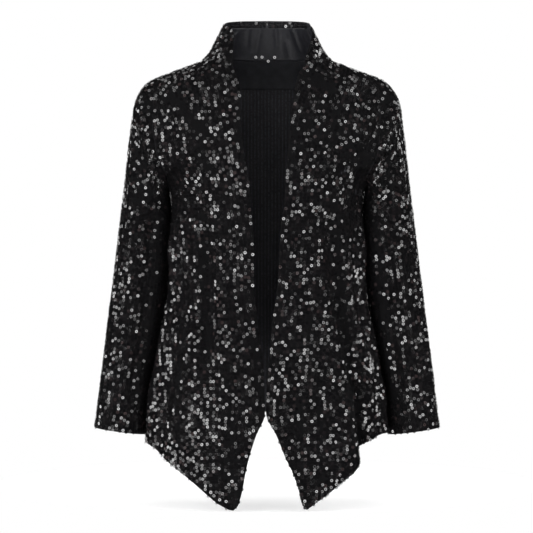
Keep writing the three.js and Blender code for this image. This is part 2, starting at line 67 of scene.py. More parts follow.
# Folds of the body: turn and height at the start, the same at the end, half width, depth at the
# start and at the end. Turn is 0 at the centre front, 90 at the wearer's left, 180 at the back.
bodyFolds = [
    (37, -185, 58, -720, 12, 7, 27), (31, -220, 45, -720, 13, -2, -8),
    (57, -70, 33, -235, 9, 6, 4), (46, -45, 24, -165, 8, 5, 3),
    (22, -375, 21, -450, 8, 5, 4), (17, -480, 16, -610, 9, 4, 7),
    (12, -250, 9, -500, 9, -4, -3), (74, -200, 75, -740, 16, -8, -8),
    (-74, -200, -75, -740, 16, -8, -8), (-40, -235, -30, -500, 9, 8, 9),
    (-55, -190, -60, -640, 15, 5, 9), (-22, -300, -17, -660, 12, -4, -6),
    (-2, -400, 1, -580, 12, 9, 8), (-50, -60, -38, -200, 10, 4, 4),
    (-72, -214, -50, -168, 8, 4, 4), (72, -214, 50, -168, 8, 4, 4),
    (172, -230, 168, -640, 15, 5, 8), (193, -150, 199, -620, 14, 4, 9),
    (146, -170, 141, -640, 15, 4, 10), (222, -210, 229, -640, 16, 5, 8),
    (157, -300, 154, -660, 12, -3, -6), (210, -280, 213, -660, 12, -3, -6),
    (118, -120, 137, -230, 9, 5, 3), (242, -115, 226, -240, 9, 5, 3),
]

# Small creases of the same kind, which only show on the cloth itself
bodyCreases = [
    (-47, -244, -36, -262, 5, 2.2, 2), (-28, -150, -34, -250, 7, 1.6, 2),
    (-66, -300, -70, -440, 7, 2, 2.4), (-46, -380, -52, -560, 7, 1.8, 2.6),
    (-12, -470, -20, -640, 6, 1.8, 2.2), (-20, -90, -26, -190, 7, 1.5, 1.8),
    (63, -300, 66, -470, 7, 2, 2.4), (26, -240, 24, -330, 6, 1.8, 2),
    (33, -470, 36, -640, 7, 2, 3), (52, -120, 40, -200, 6, 2, 1.6),
    (9, -520, 12, -650, 6, 1.8, 2), (30, -110, 20, -230, 7, 1.5, 2),
    (183, -380, 181, -620, 8, 2, 3), (204, -330, 206, -560, 8, 2, 2.4),
    (133, -260, 130, -500, 8, 2, 3), (235, -260, 238, -500, 8, 2, 3),
    (160, -140, 165, -240, 8, 2, 1.5), (200, -130, 196, -230, 8, 2, 1.5),
    (77, -150, 76, -330, 12, -5, -5), (-77, -150, -76, -330, 12, -5, -5),
    (103, -150, 104, -330, 12, -4, -4), (257, -150, 256, -330, 12, -4, -4),
    (87, -395, 87, -560, 15, -4, -4), (-87, -395, -87, -560, 15, -4, -4),
]
foldFade = 0.22      # share of a fold's length over which it rises and dies away


def unit(v):
    return v / np.linalg.norm(v, axis=-1, keepdims=True)


def dot(a, b):
    return np.einsum("ij,ij->i", a, b)[:, None]


def fromZero(steps, axis=0):
    return np.insert(np.cumsum(steps, axis=axis), 0, 0, axis=axis)


def pathLength(points, axis=0):
    # the distance from the first point to each, along the points
    return fromZero(np.linalg.norm(np.diff(points, axis=axis), axis=-1), axis)


def floats(a, b):
    return np.broadcast_arrays(np.asarray(a, float), np.asarray(b, float))


def blend(a, b, f):
    return a + (b - a) * f


def smoothColumn(at, value):
    # Cubic pieces through the points. The slope at each point is the harmonic mean of the rises on
    # both sides of it, or 0 where they differ in sign, so nothing overshoots.
    at, value = np.asarray(at, float), np.asarray(value, float)
    if at[0] > at[-1]:
        at, value = at[::-1], value[::-1]
    rise = np.diff(value) / np.diff(at)
    same = rise[:-1] * rise[1:] > 0
    inner = np.where(same, 2 * rise[:-1] * rise[1:] / np.where(same, rise[:-1] + rise[1:], 1), 0)
    slope = np.concatenate([rise[:1], inner, rise[-1:]])

    def read(x):
        i = np.clip(np.searchsorted(at, x, side="right") - 1, 0, len(at) - 2)
        step = at[i + 1] - at[i]
        f = np.clip((x - at[i]) / step, 0, 1)
        g = 1 - f
        ends = value[i] * g * g * (1 + 2 * f) + value[i + 1] * f * f * (1 + 2 * g)
        return ends + step * f * g * (slope[i] * g - slope[i + 1] * f)

    return read


# Run is the distance down the side of the body, over the shoulder
bodyRun = fromZero(np.hypot(np.diff(bodyShape["z"]), np.diff(bodyShape["half"])))
sectionZ, sectionHalf, sectionFront, sectionBack = (
    smoothColumn(bodyRun, bodyShape[key]) for key in ("z", "half", "front", "back"))
denseRun = np.linspace(0, bodyRun[-1], 12000)
denseZ = sectionZ(denseRun)


def runAt(z):
    return np.interp(-np.asarray(z, float), -denseZ, denseRun)


def turnAt(x, z):
    # the turn at which a level section lies x from the middle plane, on the front
    n = bodyShape["squareness"]
    share = np.clip(np.abs(x) / sectionHalf(runAt(z)), 0, 1)
    return np.sign(x) * np.degrees(np.arctan2(share, (1 - share ** n) ** (1 / n)))


def squared(turn, n):
    # sine and cosine, each divided by the n-norm of both: a circle for n = 2, squarer above it
    s, c = np.sin(np.radians(turn)), np.cos(np.radians(turn))
    size = (np.abs(s) ** n + np.abs(c) ** n) ** (1 / n)
    return s / size, c / size


def ramp(x, reach):
    f = np.clip(x / reach, 0, 1)
    return f * f * (3 - 2 * f)


def foldDepth(folds, turn, place, radius):
    # Sum over the folds of depth x fade at both ends x exp(-(distance from its line / width)^2)
    total = np.zeros(np.broadcast(turn, radius).shape)
    for turn0, place0, turn1, place1, width, depth0, depth1 in folds:
        along = np.clip((place - place0) / (place1 - place0), 0, 1)
        apart = np.radians((turn - blend(turn0, turn1, along) + 180) % 360 - 180) * radius / width
        size = ramp(along, foldFade) * ramp(1 - along, foldFade)
        total = total + blend(depth0, depth1, along) * size * np.exp(-apart * apart)
    return total


def sectionDepth(turn, run):
    return np.where(np.cos(np.radians(turn)) > 0, sectionFront(run), sectionBack(run))


def plainBody(turn, run):
    # (half width x sine, -depth x cosine, height), on a squared circle
    s, c = squared(turn, bodyShape["squareness"])
    return np.stack([sectionHalf(run) * s, -sectionDepth(turn, run) * c, sectionZ(run) + 0 * s], axis=-1)


def normalOf(surface, a, b, stepA, stepB):
    alongA = surface(a + stepA, b) - surface(a - stepA, b)
    alongB = surface(a, b + stepB) - surface(a, b - stepB)
    return unit(np.cross(alongA, alongB))


def foldedBody(turn, run, creased=True):
    # the plain body, moved inwards along its normal by the depth of its folds
    radius = (sectionHalf(run) + sectionDepth(turn, run)) / 2
    folds = bodyFolds + bodyCreases if creased else bodyFolds
    depth = foldDepth(folds, turn, sectionZ(run), radius)
    return plainBody(turn, run) - depth[..., None] * normalOf(plainBody, turn, run, *bodyShape["steps"])


def bodyFrame(turn, run):
    # a point of the outside of the body's cloth, and the way out of it
    return foldedBody(turn, run), normalOf(foldedBody, turn, run, *bodyShape["steps"])


def bodyLine(turns, heights):
    # a line on the body through a few places, read by its share of the length
    last = len(turns) - 1
    at = np.linspace(0, last, 20 * last + 1)
    turn = smoothColumn(np.arange(last + 1), turns)(at)
    run = smoothColumn(np.arange(last + 1), runAt(heights))(at)
    steps = np.linalg.norm(np.diff(plainBody(turn, run), axis=0), axis=1)
    share = fromZero(steps) / steps.sum()
    readTurn, readRun = smoothColumn(share, turn), smoothColumn(share, run)
    return lambda x: np.stack([readTurn(x), readRun(x)])


# The lines that the panels share. Heights are at the turns named above.
collarTop = smoothColumn([90, 120, 150, 180], [58.5, 64.5, 68, 69])
collarBase = smoothColumn([90, 120, 150, 180], [13, 11, 9, 9])
armholeLine = bodyLine([90, 70, 60, 55.5, 54, 54, 57.5, 64, 73, 90],
                       [-20, -24, -32, -48, -80, -120, -150, -175, -188, -196])
neckPointZ, shoulderTipZ, underarmZ = 13, -20, -196
collarShare, backShoulderShare, underarmShare = 0.39, 0.28, 0.385
topFade, bottomFade = 8, 3

collarCorner = {"left": (80, 53), "right": (66, 54)}
frontEdge = {
    "z": [45, 5, -28, -56, -118, -170, -212, -250, -290, -350, -388, -430, -455, -500, -538, -572,
          -605, -632, -656],
    "left": [70.4, 60, 46.5, 40.5, 33, 28.5, 27, 21.5, 18, 15, 9, 5, 3, -0.7, -1.2, 14.3,
             28, 41, 49],
    "right": [53.7, 52.1, 46, 41, 38, 30.5, 25.6, 22.6, 19.6, 19.6, 15, 10.5, 6, 3.8, 2.8, 16.5,
              27, 33, 37.5],
}
frontHem = {
    "left": ([52.5, 58.5, 75, 107, 130, 145, 157, 172],
             [-671, -683.6, -672.5, -649, -628, -610.5, -588.5, -575]),
    "right": ([43.5, 52, 72, 87, 115.5, 143, 166, 174],
              [-677, -684.5, -676, -664.5, -641, -620.5, -603, -594]),
}
backHem = ([90, 120, 150, 180, 210, 240, 270], [-571, -562, -553, -549, -553, -563, -577])
sideHemZ = {"left": -571, "right": -577}


def patch(top, bottom, start, end):
    # Straight rows from the start line to the end line, bent to the top line by a share
    # (1 - t)^topFade and to the bottom line by a share t^bottomFade
    def bulge(line, s):
        # how far a line departs from the straight one between its ends
        ends = [line(np.float64(place))[..., None] for place in (0, 1)]
        return line(s) - blend(*ends, s.ravel()).reshape(2, *s.shape)

    def read(s, t):
        s, t = floats(s, t)
        row = blend(start(t), end(t), s)
        return row + (1 - t) ** topFade * bulge(top, s) + t ** bottomFade * bulge(bottom, s)

    return read


def sideLine(hemZ):
    # down the armhole, then down the side seam
    seam = bodyLine([90, 90], [underarmZ, hemZ])

    def read(t):
        onArmhole = t <= underarmShare
        high = armholeLine(np.clip(t / underarmShare, 0, 1))
        low = seam(np.clip((t - underarmShare) / (1 - underarmShare), 0, 1))
        return np.where(onArmhole, high, low)

    return read


def frontPlaces(side):
    # (turn, run) of a front for s from its front edge to its side and t from shoulder to hem.
    # Below t = 0 it is the half collar, from the neck's side at 0 to the centre back at -1.
    edgeTurn = turnAt(np.array(frontEdge[side]), np.array(frontEdge["z"], float))
    hemX, hemZ = frontHem[side]
    hemTurn = turnAt(np.array(hemX), np.array(hemZ, float))
    corner = collarCorner[side]
    edge = bodyLine([90, corner[0], *edgeTurn, hemTurn[0]],
                    [collarTop(90.0), corner[1], *frontEdge["z"], hemZ[0]])
    hem = bodyLine([*hemTurn, 90], [*hemZ, sideHemZ[side]])

    def top(s):
        onCollar = s <= collarShare
        share = np.where(onCollar, s / collarShare, (s - collarShare) / (1 - collarShare))
        first = np.where(onCollar, runAt(collarTop(90.0)), runAt(neckPointZ))
        second = np.where(onCollar, runAt(neckPointZ), runAt(shoulderTipZ))
        return np.stack([90 + 0 * share, blend(first, second, share)])

    body = patch(top, hem, edge, sideLine(sideHemZ[side]))

    def read(s, t):
        s, t = floats(s, t)
        onBody = body(s, np.clip(t, 0, 1))
        turn = 90 - 90 * np.clip(t, -1, 0)
        collar = blend(runAt(collarTop(turn)), runAt(collarBase(turn)), s / collarShare)
        return np.where(t >= 0, onBody, np.stack([turn, collar]))

    return read


def backPlaces():
    # (turn, run) of the back for s from the wearer's left side to the right and t from top to hem
    def top(s):
        near = np.minimum(s, 1 - s)
        share = np.clip(near / backShoulderShare, 0, 1)
        turn = 90 + 90 * np.clip((near - backShoulderShare) / (0.5 - backShoulderShare), 0, 1)
        run = np.where(near <= backShoulderShare,
                       blend(runAt(shoulderTipZ), runAt(neckPointZ), share), runAt(collarBase(turn)))
        return np.stack([np.where(s <= 0.5, turn, 360 - turn), run])

    hem = bodyLine(*backHem)
    leftSide, rightSide = sideLine(sideHemZ["left"]), sideLine(sideHemZ["right"])

    def start(t):
        turn, run = leftSide(t)
        return np.stack([180 - turn, run])

    def end(t):
        turn, run = rightSide(t)
        return np.stack([180 + turn, run])

    return patch(top, hem, start, end)


def onBody(places, sign=1):
    def surface(s, t):
        turn, run = places(s, t)
        return bodyFrame(sign * turn, run)

    return surface


# Sleeves: rings from the armhole to the cuff, with the outer and the inner point of each in the
# front view, its half depth, and how far its middle lies behind the shoulder
sleeveShape = {
    "outX": [155, 173, 190, 204, 210.5, 216.5, 221.5, 229, 238, 248, 258, 269],
    "outZ": [-20, -27, -41, -65, -95, -138, -185, -245, -320, -405, -487, -567],
    "inX": [150, 150.6, 150.6, 150.2, 148.6, 147.4, 146.6, 148, 151.6, 163.6, 178.4, 187],
    "inZ": [-196, -198, -201, -206, -214, -228, -250, -285, -345, -422, -499, -578],
    "depth": [62, 62, 61, 59, 57, 55, 53, 51, 49, 47, 45, 43],
    "back": [2, 2, 3, 5, 8, 11, 14, 16, 17, 16, 14, 12],
    "squareness": 2.2,
    "capReach": 130,     # distance down the arm over which the armhole's shape dies away
    "shift": 0.6,        # how far the cap stands off the armhole
    "steps": (0.9, 0.6),  # in turn and in distance, for its normals
}

# Folds and small creases of the sleeves: turn and share of the length at the start and at the end,
# half width, depths. Turn 0 is the outside of the arm, 90 its front, 180 the inside, 270 its back.
sleeveFolds = {
    "left": [
        (100, 0.24, 118, 0.98, 10, 5, 4), (62, 0.4, 104, 0.62, 8, 4, 5), (40, 0.06, 66, 0.34, 10, 3, 4),
        (30, 0.52, 24, 0.96, 9, -3, -3), (250, 0.3, 284, 0.6, 10, 4, 5), (300, 0.5, 292, 0.98, 10, 4, 3),
        (318, 0.08, 296, 0.36, 10, 4, 4),
        (118, 0.44, 78, 0.52, 5, 1.8, 2), (80, 0.56, 122, 0.66, 5, 1.8, 2), (52, 0.16, 92, 0.3, 6, 1.6, 2),
        (66, 0.66, 84, 0.96, 7, 1.6, 2), (230, 0.4, 268, 0.5, 6, 2, 2), (330, 0.3, 344, 0.7, 7, 1.6, 1.6),
    ],
    "right": [
        (104, 0.28, 112, 0.98, 10, 5, 5), (58, 0.46, 98, 0.56, 8, 4, 4), (44, 0.05, 74, 0.3, 10, 3, 4),
        (26, 0.6, 32, 0.98, 9, -3, -3), (256, 0.34, 278, 0.66, 10, 4, 5), (306, 0.44, 296, 0.98, 10, 3, 4),
        (314, 0.1, 300, 0.34, 10, 4, 3),
        (122, 0.48, 84, 0.58, 5, 1.8, 2), (76, 0.36, 118, 0.46, 5, 1.8, 2), (56, 0.14, 88, 0.26, 6, 1.6, 2),
        (70, 0.6, 78, 0.96, 7, 1.6, 2), (236, 0.5, 270, 0.6, 6, 2, 2), (336, 0.26, 348, 0.6, 7, 1.6, 1.6),
    ],
}
sleeveFar = fromZero(np.hypot(np.diff(sleeveShape["outX"]), np.diff(sleeveShape["outZ"])))
sleeveLength = sleeveFar[-1]
ringOf = {key: smoothColumn(sleeveFar, sleeveShape[key])
          for key in ("outX", "outZ", "inX", "inZ", "depth", "back")}


def flatRing(turn, far):
    # middle + half the width x cosine, and the depth x sine, on a squared circle
    outer = np.stack([ringOf["outX"](far), ringOf["back"](far), ringOf["outZ"](far)], axis=-1)
    inner = np.stack([ringOf["inX"](far), ringOf["back"](far), ringOf["inZ"](far)], axis=-1)
    middle = (outer + inner) / 2
    s, c = squared(turn, sleeveShape["squareness"])
    point = middle + (outer - middle) * c[..., None]
    point[..., 1] -= ringOf["depth"](far) * s
    return point, middle


def armholePlace(turn, sign):
    # (turn, run) on the body for a turn round the armhole
    front = turn <= 180
    place, run = armholeLine(np.where(front, turn, 360 - turn) / 180)
    return sign * np.where(front, place, 180 - place), run


def armholePoint(turn, sign):
    point = foldedBody(*armholePlace(turn, sign), creased=False)
    point[..., 0] = sign * point[..., 0] + sleeveShape["shift"]
    return point


def onSleeve(side):
    # rings that follow the armhole at the top and turn into plain ovals, less the folds' depth
    sign = 1 if side == "left" else -1

    def outside(turn, far):
        turn = turn % 360
        down = np.clip(far, 0, sleeveLength)
        point, middle = flatRing(turn, down)
        pull = 1 - ramp(down, sleeveShape["capReach"])
        point = point + pull[..., None] * (armholePoint(turn, sign) - flatRing(turn, 0 * down)[0])
        depth = foldDepth(sleeveFolds[side], turn, down / sleeveLength, ringOf["depth"](down))
        inward = middle - point
        point = point + depth[..., None] * inward / np.linalg.norm(inward, axis=-1, keepdims=True)
        return point * [sign, 1, 1]

    def surface(turn, far):
        turn, far = floats(turn, far)
        stepTurn, stepFar = sleeveShape["steps"]
        within = np.clip(far, stepFar, sleeveLength - stepFar)
        return outside(turn, far), sign * normalOf(outside, turn, within, stepTurn, stepFar)

    return surface


# Finishes
def newFinish(name, roughness, specular, color=(0.01, 0.01, 0.01)):
    made = bpy.data.materials.new(name)
    made.use_nodes = True
    shader = made.node_tree.nodes["Principled BSDF"]
    values = {"Base Color": (*color, 1), "Roughness": roughness, "Specular IOR Level": specular}
    for key, value in values.items():
        shader.inputs[key].default_value = value
    return made, made.node_tree, shader


def addNode(tree, kind, values=None, links=None):
    made = tree.nodes.new("ShaderNode" + kind)
    for key, value in (values or {}).items():
        if hasattr(made, key):
            setattr(made, key, value)
        else:
            made.inputs[key].default_value = value
    for key, socket in (links or {}).items():
        tree.links.new(socket, made.inputs[key])
    return made


def colorSteps(tree, factor, stops):
    # each stop is a place and a colour, or one value for its three parts
    made = tree.nodes.new("ShaderNodeValToRGB")
    ramps = made.color_ramp.elements
    while len(ramps) < len(stops):
        ramps.new(0.5)
    for item, (at, color) in zip(ramps, stops):
        item.position = at
        item.color = (*np.broadcast_to(color, 3), 1)
    tree.links.new(factor, made.inputs["Fac"])
    return made.outputs["Color"]


def times(tree, first, second):
    return addNode(tree, "Math", {"operation": "MULTIPLY"}, {0: first, 1: second}).outputs["Value"]


def mapTo(tree, value, low, high, start=0.0, end=1.0):
    values = {"From Min": low, "From Max": high, "To Min": start, "To Max": end}
    return addNode(tree, "MapRange", values, {"Value": value}).outputs["Result"]


def colorBy(tree, shader, factor, stops):
    tree.links.new(colorSteps(tree, factor, stops), shader.inputs["Base Color"])


def bumpBy(tree, shader, height, strength, distance):
    bump = addNode(tree, "Bump", {"Strength": strength, "Distance": distance}, {"Height": height})
    tree.links.new(bump.outputs["Normal"], shader.inputs["Normal"])


def noiseBy(tree, place, scale, detail):
    values = {"Scale": scale, "Detail": detail}
    return addNode(tree, "TexNoise", values, {"Vector": place}).outputs["Fac"]


def clothPlace(tree):
    # the piece's own UV, in millimetres
    return addNode(tree, "UVMap", {"uv_map": "clothMm"}).outputs["UV"]


sequinLook = {
    "radius": 2.35, "hole": 1.0, "sides": 10,
    "pitch": 5.5, "step": 5.2, "zigzag": 0.7, "lift": 0.8,
    "lap": 2.0,          # degrees by which each one leans on the one below
    "cloud": 2.0,        # lean shared by a patch of cloth, degrees
    "cloudSize": 60.0,   # size of such a patch
    "waver": 7.0,        # lean shared along a column, degrees
    "run": 20.0,         # length over which a column's lean changes
    "loose": 3.4,        # lean of each one by itself, degrees
    "leanLimits": (-24, 28),
    "missing": 0.02,
    "first": 0.45, "spare": 0.05,     # first place in a column, room after its last, in steps
    "offLine": 0.12, "spread": 0.02,  # spread of the places across and of the sizes
    "tint": (1.1, 2.2),  # shape of the draw of the tints
    "downStep": 0.002,   # step in t that gives the way down a column
}
rolledLook = {"wide": 11, "upTo": -0.22}  # reach across and down of those that roll over the edge
ribLook = {
    "front": {"every": 12, "half": 1.5, "height": 0.45}, "back": {"every": 9, "half": 1.6, "height": 0.5},
    "least": 0.6, "more": 0.4,        # shares of the height that every point has and that vary
    "sway": 0.12, "sunk": 0.15,       # spread of the middle line, depth of the sides in the knit
}


def sequinFinish():
    # gloss and colour by the sequin's own tint, where -1 marks one made dull and dark as painted fold shade
    made, tree, shader = newFinish("sequin_gloss", 0.1, 0.6)
    tint = addNode(tree, "Attribute", {"attribute_name": "tint"}).outputs["Fac"]
    colorBy(tree, shader, tint, [
        (0.0, (0.0042, 0.0042, 0.0047)), (0.45, (0.0075, 0.0068, 0.0073)), (0.7, (0.017, 0.014, 0.015)),
        (0.88, (0.045, 0.031, 0.031)), (1.0, (0.085, 0.065, 0.065))])
    # tint -1 gives a rough, low-specular sequin: the painted fold shade
    rough = colorSteps(tree, mapTo(tree, tint, -1.0, 1.0), [
        (0.0, 0.6), (0.45, 0.6), (0.5, 0.05), (1.0, 0.12)])
    tree.links.new(rough, shader.inputs["Roughness"])
    tree.links.new(mapTo(tree, tint, -1.0, 0.0, 0.06, 0.62), shader.inputs["Specular IOR Level"])
    return made


def grainFinish(name, roughness, specular, scale, stops):
    # fine noise in the colour, and the same in the height of a knit
    made, tree, shader = newFinish(name, roughness, specular)
    grain = noiseBy(tree, addNode(tree, "TexCoord").outputs["Object"], scale, 3.0)
    colorBy(tree, shader, grain, stops)
    if name == "black_knit":
        bumpBy(tree, shader, grain, 0.35, 0.0006)
    return made


def wrongSideFinish():
    # the knit's wrong side: a loop pattern, shaded by a slow noise
    made, tree, shader = newFinish("wrong_side", 0.7, 0.3)
    place = clothPlace(tree)
    size = addNode(tree, "Mapping", {"Scale": (1.1, 0.7, 1)}, {"Vector": place})
    loops = addNode(tree, "TexVoronoi", {"Scale": 1.0}, {"Vector": size.outputs["Vector"]})
    both = times(tree, loops.outputs["Distance"], noiseBy(tree, place, 0.05, 4.0))
    colorBy(tree, shader, both, [(0.0, (0.006, 0.006, 0.0075)), (0.6, (0.03, 0.028, 0.031))])
    bumpBy(tree, shader, loops.outputs["Distance"], 0.4, 0.0008)
    return made


# a close twill with a soft sheen, and the loops of a smooth knit
bandLook = {
    "satin": {
        "roughness": 0.42, "specular": 0.3, "color": (0.01, 0.01, 0.012), "sheen": 0.05, "bump": 0.12,
        "wave": {"bands_direction": "DIAGONAL", "Scale": 1.6, "Distortion": 0.6}, "cloud": 0.12,
        "stops": [(0.3, (0.009, 0.009, 0.0115)), (0.7, (0.018, 0.018, 0.023))],
    },
    "plain_knit": {
        "roughness": 0.62, "specular": 0.35, "color": (0.012, 0.012, 0.013), "sheen": 0.0, "bump": 0.25,
        "wave": {"bands_direction": "X", "Scale": 1.2, "Distortion": 1.5}, "cloud": 0.08,
        "stops": [(0.3, (0.009, 0.009, 0.011)), (0.7, (0.019, 0.0195, 0.024))],
    },
}


def bandFinish(name):
    # bands of a wave in the height, and a slow noise in the colour
    look = bandLook[name]
    made, tree, shader = newFinish(name, look["roughness"], look["specular"], look["color"])
    shader.inputs["Sheen Weight"].default_value = look["sheen"]
    place = clothPlace(tree)
    bands = addNode(tree, "TexWave", dict(look["wave"], wave_type="BANDS"), {"Vector": place})
    colorBy(tree, shader, noiseBy(tree, place, look["cloud"], 3.0), look["stops"])
    bumpBy(tree, shader, bands.outputs["Fac"], look["bump"], 0.0004)
    return made


finish = {
    "sequin": sequinFinish(), "wrong": wrongSideFinish(),
    "knit": grainFinish("black_knit", 0.85, 0.08, 900.0, [
        (0.3, (0.0034, 0.0034, 0.0038)), (0.75, (0.0094, 0.0086, 0.0094))]),
    "rib": grainFinish("stitch_ribs", 0.65, 0.25, 420.0, [
        (0.35, (0.015, 0.015, 0.018)), (0.7, (0.047, 0.047, 0.056))]),
    "satin": bandFinish("satin"), "plain": bandFinish("plain_knit"),
}


def quadMesh(name, points, faces, materials, slot, faceMaterial=None, uv=None, tint=None):
    mesh = bpy.data.meshes.new(name)
    mesh.vertices.add(len(points))
    mesh.vertices.foreach_set("co", np.asarray(points, np.float32).ravel() * np.float32(0.001))
    mesh.loops.add(faces.size)
    mesh.loops.foreach_set("vertex_index", faces.astype(np.int32).ravel())
    mesh.polygons.add(len(faces))
    mesh.polygons.foreach_set("loop_start", np.arange(0, faces.size, 4, dtype=np.int32))
    mesh.polygons.foreach_set("use_smooth", np.ones(len(faces), bool))
    for item in materials:
        mesh.materials.append(item)
    if faceMaterial is not None:
        mesh.polygons.foreach_set("material_index", faceMaterial.astype(np.int32))
    if uv is not None:
        layer = mesh.uv_layers.new(name="clothMm")
        layer.data.foreach_set("uv", uv.astype(np.float32).ravel())
    if tint is not None:
        mesh.attributes.new("tint", "FLOAT", "POINT").data.foreach_set("value", tint.astype(np.float32))
    mesh.update(calc_edges=True)
    mesh.validate()
    piece = bpy.data.objects.new(name, mesh)
    scene.collection.objects.link(piece)
    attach(piece, "root")
    return piece


def shell(name, outer, inner, hasCell, closed, materials, slot):
    # Two faces of a cloth and a rim round every cell that has no neighbour. UV is millimetres
    # across the middle row and down the middle column.
    height, width = outer.shape[:2]
    wide = np.concatenate([outer, outer[:, :1]], axis=1) if closed else outer
    across = pathLength(wide, 1)
    across = across - across[:, [across.shape[1] // 2]]
    uvAt = np.stack([across, pathLength(wide)], axis=-1)
    count = height * width
    ids = np.arange(count).reshape(height, width)

    def corner(i, j):
        return ids[i, j % width if closed else j], uvAt[i, j]

    def cellsWithout(di, dj):
        rows, columns = hasCell.shape
        padded = np.zeros((rows + 2, columns + 2), bool)
        padded[1:-1, 1:-1] = hasCell
        if closed:
            padded[:, 0], padded[:, -1] = padded[:, -2], padded[:, 1]
        beside = padded[1 + di:1 + di + rows, 1 + dj:1 + dj + columns]
        return np.nonzero(hasCell & ~beside)

    i, j = np.nonzero(hasCell)
    ring = [corner(i, j), corner(i, j + 1), corner(i + 1, j + 1), corner(i + 1, j)]
    face = np.stack([c[0] for c in ring], axis=1)
    faceUv = np.stack([c[1] for c in ring], axis=1)
    parts = [(face, faceUv, 0 * i), (face[:, ::-1] + count, faceUv[:, ::-1], 0 * i + 1)]
    for (di, dj), (a, b) in {(-1, 0): ((0, 0), (0, 1)), (0, 1): ((0, 1), (1, 1)),
                             (1, 0): ((1, 1), (1, 0)), (0, -1): ((1, 0), (0, 0))}.items():
        i, j = cellsWithout(di, dj)
        p, puv = corner(i + a[0], j + a[1])
        q, quv = corner(i + b[0], j + b[1])
        rim = np.stack([q, p, p + count, q + count], axis=1)
        parts.append((rim, np.stack([quv, puv, puv, quv], axis=1), 0 * i))
    faces, uvs, kinds = (np.concatenate(part) for part in zip(*parts))
    points = np.concatenate([outer.reshape(-1, 3), inner.reshape(-1, 3)])
    a, b, c, d = (points[faces[:, k]] for k in range(4))
    if np.einsum("ij,ij->", a, np.cross(b, c)) + np.einsum("ij,ij->", a, np.cross(c, d)) < 0:
        faces, uvs = faces[:, ::-1], uvs[:, ::-1]
    used, back = np.unique(faces, return_inverse=True)
    return quadMesh(name, points[used], back.reshape(faces.shape), materials, slot, kinds, uvs)


def sheetArea(points, hasCell):
    # half the product of each cell's diagonals, crosswise, in square metres
    a, b = points[:-1, :-1], points[:-1, 1:]
    c, d = points[1:, 1:], points[1:, :-1]
    area = np.linalg.norm(np.cross(c - a, d - b), axis=2) / 2
    return (area * hasCell).sum() * 1e-6


def sheetPiece(name, point, normal, under, thick, looks, slot, hasCell=None, closed=False):
    # a cloth's shell at its depth under the sequins' tops, and its area
    outer = point - normal * under
    wide = np.concatenate([outer, outer[:, :1]], axis=1) if closed else outer
    if hasCell is None:
        hasCell = np.ones((len(wide) - 1, len(wide[0]) - 1), bool)
    materials = [finish[key] for key in looks]
    piece = shell(name, outer, outer - normal * thick, hasCell, closed, materials, slot)
    return piece, sheetArea(wide, hasCell)


knitSheet = {
    "under": cloth["under"], "thick": cloth["thick"], "looks": ("knit", "wrong"), "slot": "sequin_cloth",
}


def columnPaths(surface, low, high, guide, rows, pitch, keep, start=None):
    # Sequin columns. Each runs where the distance across from the guide share is its own number of
    # pitches and a half. Gives the column's number and distance, its rows and its places in them.
    shares = np.linspace(0, 1, 161)
    s = blend(low(rows)[:, None], high(rows)[:, None], shares)
    points, _ = surface(s, rows[:, None] + 0 * s)
    across = pathLength(points, 1)
    first = np.array([np.interp(guide, shares, line) for line in across])
    across = across - first[:, None]
    if start is not None:
        across = across + start(rows, points)[:, None]
    least, most = np.floor(across.min() / pitch), np.ceil(across.max() / pitch)
    for k in np.arange(least, most + 1):
        u = (k + 0.5) * pitch
        at = np.array([np.interp(u, line, shares, left=np.nan, right=np.nan)
                       if line[0] + keep[0] <= u <= line[-1] - keep[1] else np.nan for line in across])
        there = np.nonzero(~np.isnan(at))[0]
        for part in np.split(there, np.nonzero(np.diff(there) > 1)[0] + 1):
            if len(part) > 2:
                yield int(k), u, rows[part], blend(low(rows[part]), high(rows[part]), at[part])


def smoothNoise(place, size):
    # sum of eleven waves in random directions, of lengths near the size, with variance 1
    count = 11
    angle, phase = rng.uniform(0, 2 * np.pi, (2, count))
    rate = 2 * np.pi / size * rng.uniform(0.45, 1.3, count)
    across = place[:, 0, None] * rate * np.cos(angle)
    down = place[:, 1, None] * rate * np.sin(angle)
    return np.sin(across + down + phase).sum(axis=1) * np.sqrt(2 / count)


# Painted fold shade: places where most sequins are made dull and dark to stand in for the shade in a
# fold: x and z at the start and at the end, half width, share that is dull
foldShadeLines = {
    "right_front": [
        (-96, -293, -87, -459, 9, 0.85), (-101, -243, -63, -258, 6, 0.85), (-20, -429, -4, -534, 9, 0.8),
        (-146, -60, -98, -112, 16, 0.75), (-108, -144, -84, -172, 9, 0.6), (-45, -86, -27, -165, 8, 0.7),
        (-62, -470, -52, -640, 6, 0.5), (-128, -400, -138, -560, 7, 0.5), (-60, -600, -46, -660, 14, 0.4),
    ],
    "left_front": [
        (99.5, -218, 120.6, -444, 8, 0.8), (120.6, -444, 141, -600, 8, 0.8), (62, -396, 62, -420, 6, 0.9),
        (48, -518, 46, -575, 8, 0.9), (50, -25, 95, -45, 12, 0.95), (105, -111, 150, -152, 17, 0.65),
        (60, -90, 105, -72, 14, 0.4), (60, -110, 104, -130, 16, 0.5),
        (41, -112, 36, -165, 6, 0.6), (25, -350, 22, -420, 6, 0.5), (80, -520, 84, -640, 7, 0.5),
    ],
    "right_sleeve": [
        (-157, -210, -190, -519, 11, 0.7), (-196, -57, -158, -87, 15, 0.75),
        (-192, -140, -190, -210, 16, 0.55), (-165, -66, -165, -112, 14, 0.6),
    ],
    "left_sleeve": [
        (157, -210, 192, -519, 11, 0.7), (155, -42, 188, -58, 13, 0.85), (185, -110, 190, -190, 12, 0.4),
    ],
    "back": [
        (28, -230, 34, -600, 9, 0.7), (-36, -160, -44, -600, 9, 0.7), (88, -180, 104, -600, 9, 0.7),
        (-92, -210, -106, -600, 9, 0.7), (120, -120, 88, -225, 9, 0.6), (-122, -115, -90, -235, 9, 0.6),
    ],
}


